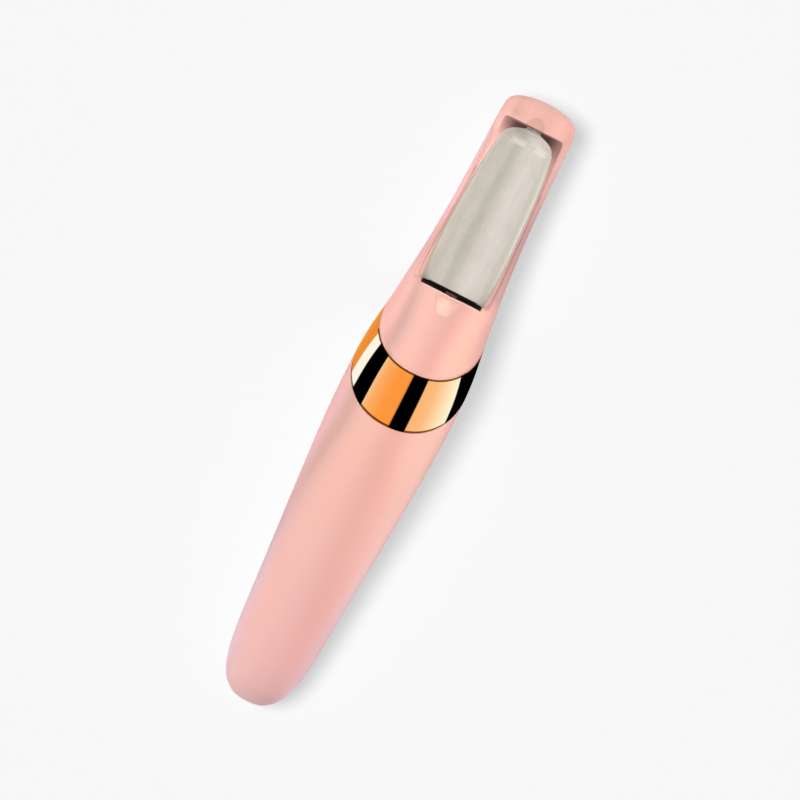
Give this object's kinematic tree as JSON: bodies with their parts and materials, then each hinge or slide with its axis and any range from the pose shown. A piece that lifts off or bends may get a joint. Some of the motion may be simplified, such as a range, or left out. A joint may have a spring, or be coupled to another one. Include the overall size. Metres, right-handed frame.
{
  "type": "electric callus remover",
  "caption": "Battery wand with a powered abrasive roller in a recessed head, a planetary gear drive, a slanted band, a work light and a rear push button.",
  "frame": {"origin": "middle of the length and width, on the flat of the back that the wand rests on", "axes": "+X across the wand, +Y along it towards the roller tip, +Z out of the roller side"},
  "size_m": [0.0338, 0.1875, 0.0304],
  "materials": {
    "pearl_pink": "satin pearl lacquer over moulded ABS, peach where it faces the eye and pinker at the edges",
    "rose_gold": "mirror-polished rose-gold anodised ring",
    "mineral_grit": "fine mineral abrasive bonded to the roller, matt grey-beige",
    "black_rubber": "matt black elastomer",
    "steel": "drawn and zinc-plated steel",
    "clear_peach": "translucent frosted light window",
    "white_nylon": "natural acetal, moulded",
    "dark_plastic": "glass-filled black nylon",
    "bronze": "sintered bronze",
    "board_green": "solder-masked glass epoxy board",
    "cell_wrap": "shrink-wrapped lithium-ion cell",
    "copper": "enamelled copper and laminated steel",
    "wire_red": "silicone-insulated wire",
    "wire_black": "silicone-insulated wire",
    "ferrite": "sintered ferrite"
  },
  "bodies": {
    "housing": {"handle_front_shell": "pearl_pink", "handle_rear_shell": "pearl_pink", "gold_band": "rose_gold", "head_shell": "pearl_pink", "work_light_lens": "clear_peach", "work_light_led": "clear_peach", "idler_pin": "steel", "spindle_dust_seal": "black_rubber", "gearbox_housing": "dark_plastic", "ring_gear": "white_nylon", "spindle_bush": "bronze", "gearbox_screw_1": "steel", "gearbox_screw_2": "steel", "gearbox_screw_3": "steel", "motor_mount_plate": "dark_plastic", "motor_screw_1": "steel", "motor_screw_2": "steel", "motor_can": "steel", "motor_end_bell": "dark_plastic", "motor_magnet_left": "ferrite", "motor_magnet_right": "ferrite", "motor_terminal_left": "copper", "motor_terminal_right": "copper", "battery_cell": "cell_wrap", "battery_cradle": "dark_plastic", "battery_tab_positive": "steel", "battery_tab_negative": "steel", "main_board": "board_green", "board_screw_1": "steel", "board_screw_2": "steel", "tact_switch": "dark_plastic", "controller_chip": "dark_plastic", "charge_led": "clear_peach", "charge_light_pipe": "clear_peach", "port_board": "board_green", "charge_port": "steel", "battery_wire_red": "wire_red", "battery_wire_black": "wire_black", "motor_wire_red": "wire_red", "motor_wire_black": "wire_black", "work_light_wire": "wire_black"},
    "drive": {"planet_carrier": "dark_plastic", "planet_pin_1": "steel", "planet_pin_2": "steel", "planet_pin_3": "steel", "drive_spindle": "steel", "roller_spring": "steel"},
    "roller": {"abrasive_sleeve": "mineral_grit", "roller_end_cap": "black_rubber", "roller_core": "white_nylon", "roller_dome_cap": "mineral_grit"},
    "rotor": {"motor_shaft": "steel", "motor_armature": "copper", "motor_commutator": "copper", "sun_gear": "bronze"},
    "planet_1": {"planet_gear_1": "white_nylon"},
    "planet_2": {"planet_gear_2": "white_nylon"},
    "planet_3": {"planet_gear_3": "white_nylon"},
    "button": {"power_button": "rose_gold"},
    "plunger": {"tact_plunger": "black_rubber"}
  },
  "joints": [
    {"name": "roller_spin", "type": "hinge", "parent": "housing", "child": "drive", "pos_m": [0, 0.035, 0.014], "axis": [0, 1, 0], "continuous": true},
    {"name": "roller_release", "type": "slide", "parent": "drive", "child": "roller", "axis": [0, 1, 0], "range_m": [-0.00065, 0], "stiffness_N_per_m": 800, "deforming": ["roller_spring"]},
    {"name": "motor_spin", "type": "hinge", "parent": "housing", "child": "rotor", "pos_m": [0, 0, 0.014], "axis": [0, 1, 0], "continuous": true},
    {"name": "planet_1_spin", "type": "hinge", "parent": "drive", "child": "planet_1", "pos_m": [0, 0.0185, 0.0086], "axis": [0, 1, 0], "continuous": true},
    {"name": "planet_2_spin", "type": "hinge", "parent": "drive", "child": "planet_2", "pos_m": [-0.00468, 0.0185, 0.0167], "axis": [0, 1, 0], "continuous": true},
    {"name": "planet_3_spin", "type": "hinge", "parent": "drive", "child": "planet_3", "pos_m": [0.00468, 0.0185, 0.0167], "axis": [0, 1, 0], "continuous": true},
    {"name": "power_button_press", "type": "slide", "parent": "housing", "child": "button", "axis": [0, 0, 1], "range_m": [0, 0.0005], "stiffness_N_per_m": 8},
    {"name": "switch_plunger_press", "type": "slide", "parent": "housing", "child": "plunger", "axis": [0, 0, 1], "range_m": [0, 0.0005]}
  ],
  "couplings": [
    {"joint": "motor_spin", "follows": "roller_spin", "ratio": 4},
    {"joint": "planet_1_spin", "follows": "roller_spin", "ratio": -3},
    {"joint": "planet_2_spin", "follows": "roller_spin", "ratio": -3},
    {"joint": "planet_3_spin", "follows": "roller_spin", "ratio": -3},
    {"joint": "switch_plunger_press", "follows": "power_button_press", "ratio": 1}
  ]
}
